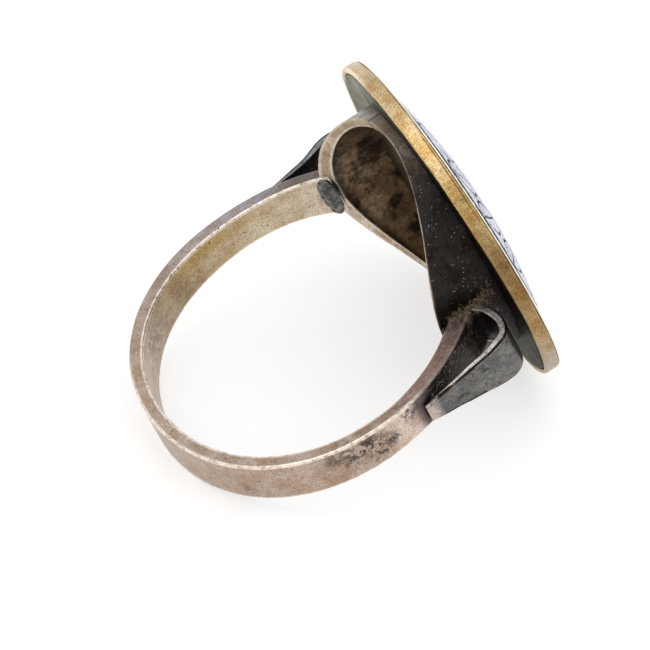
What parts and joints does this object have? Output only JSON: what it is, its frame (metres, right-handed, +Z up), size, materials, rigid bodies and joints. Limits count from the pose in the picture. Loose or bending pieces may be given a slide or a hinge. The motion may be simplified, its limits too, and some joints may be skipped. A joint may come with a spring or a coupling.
{
  "type": "signet ring",
  "caption": "Finger ring with a flat band, forked shoulders, an oval collar cut to the finger and a round framed head with a domed engraved plaque.",
  "frame": {"origin": "on the finger's axis, in the middle of the band's width", "axes": "+Y along the finger, +Z up from the finger towards the head, X from shoulder to shoulder"},
  "size_m": [0.0213, 0.021, 0.0228],
  "materials": {
    "band_silver": "worn warm silver with pits, tarnish and a few yellow patches",
    "shoulder_silver": "grey tarnished silver, bright on its worn edges",
    "blackened_silver": "heavily blackened silver with brown dirt",
    "gilt_brass": "mottled worn brass",
    "lip_silver": "thin burnished edge",
    "engraved_silver": "polished and engraved, dark in the cut lines",
    "pitch": "dull dark setting pitch",
    "solder": "dull grey-green solder"
  },
  "bodies": {
    "root": {"shank": "band_silver", "shoulder_strip_left": "shoulder_silver", "shoulder_strip_right": "shoulder_silver", "collar": "blackened_silver", "back_plate": "blackened_silver", "bezel_rim": "gilt_brass", "bezel_lip": "lip_silver", "face_plaque": "engraved_silver", "plaque_backing": "pitch", "solder_left": "solder", "solder_right": "solder"}
  },
  "joints": []
}
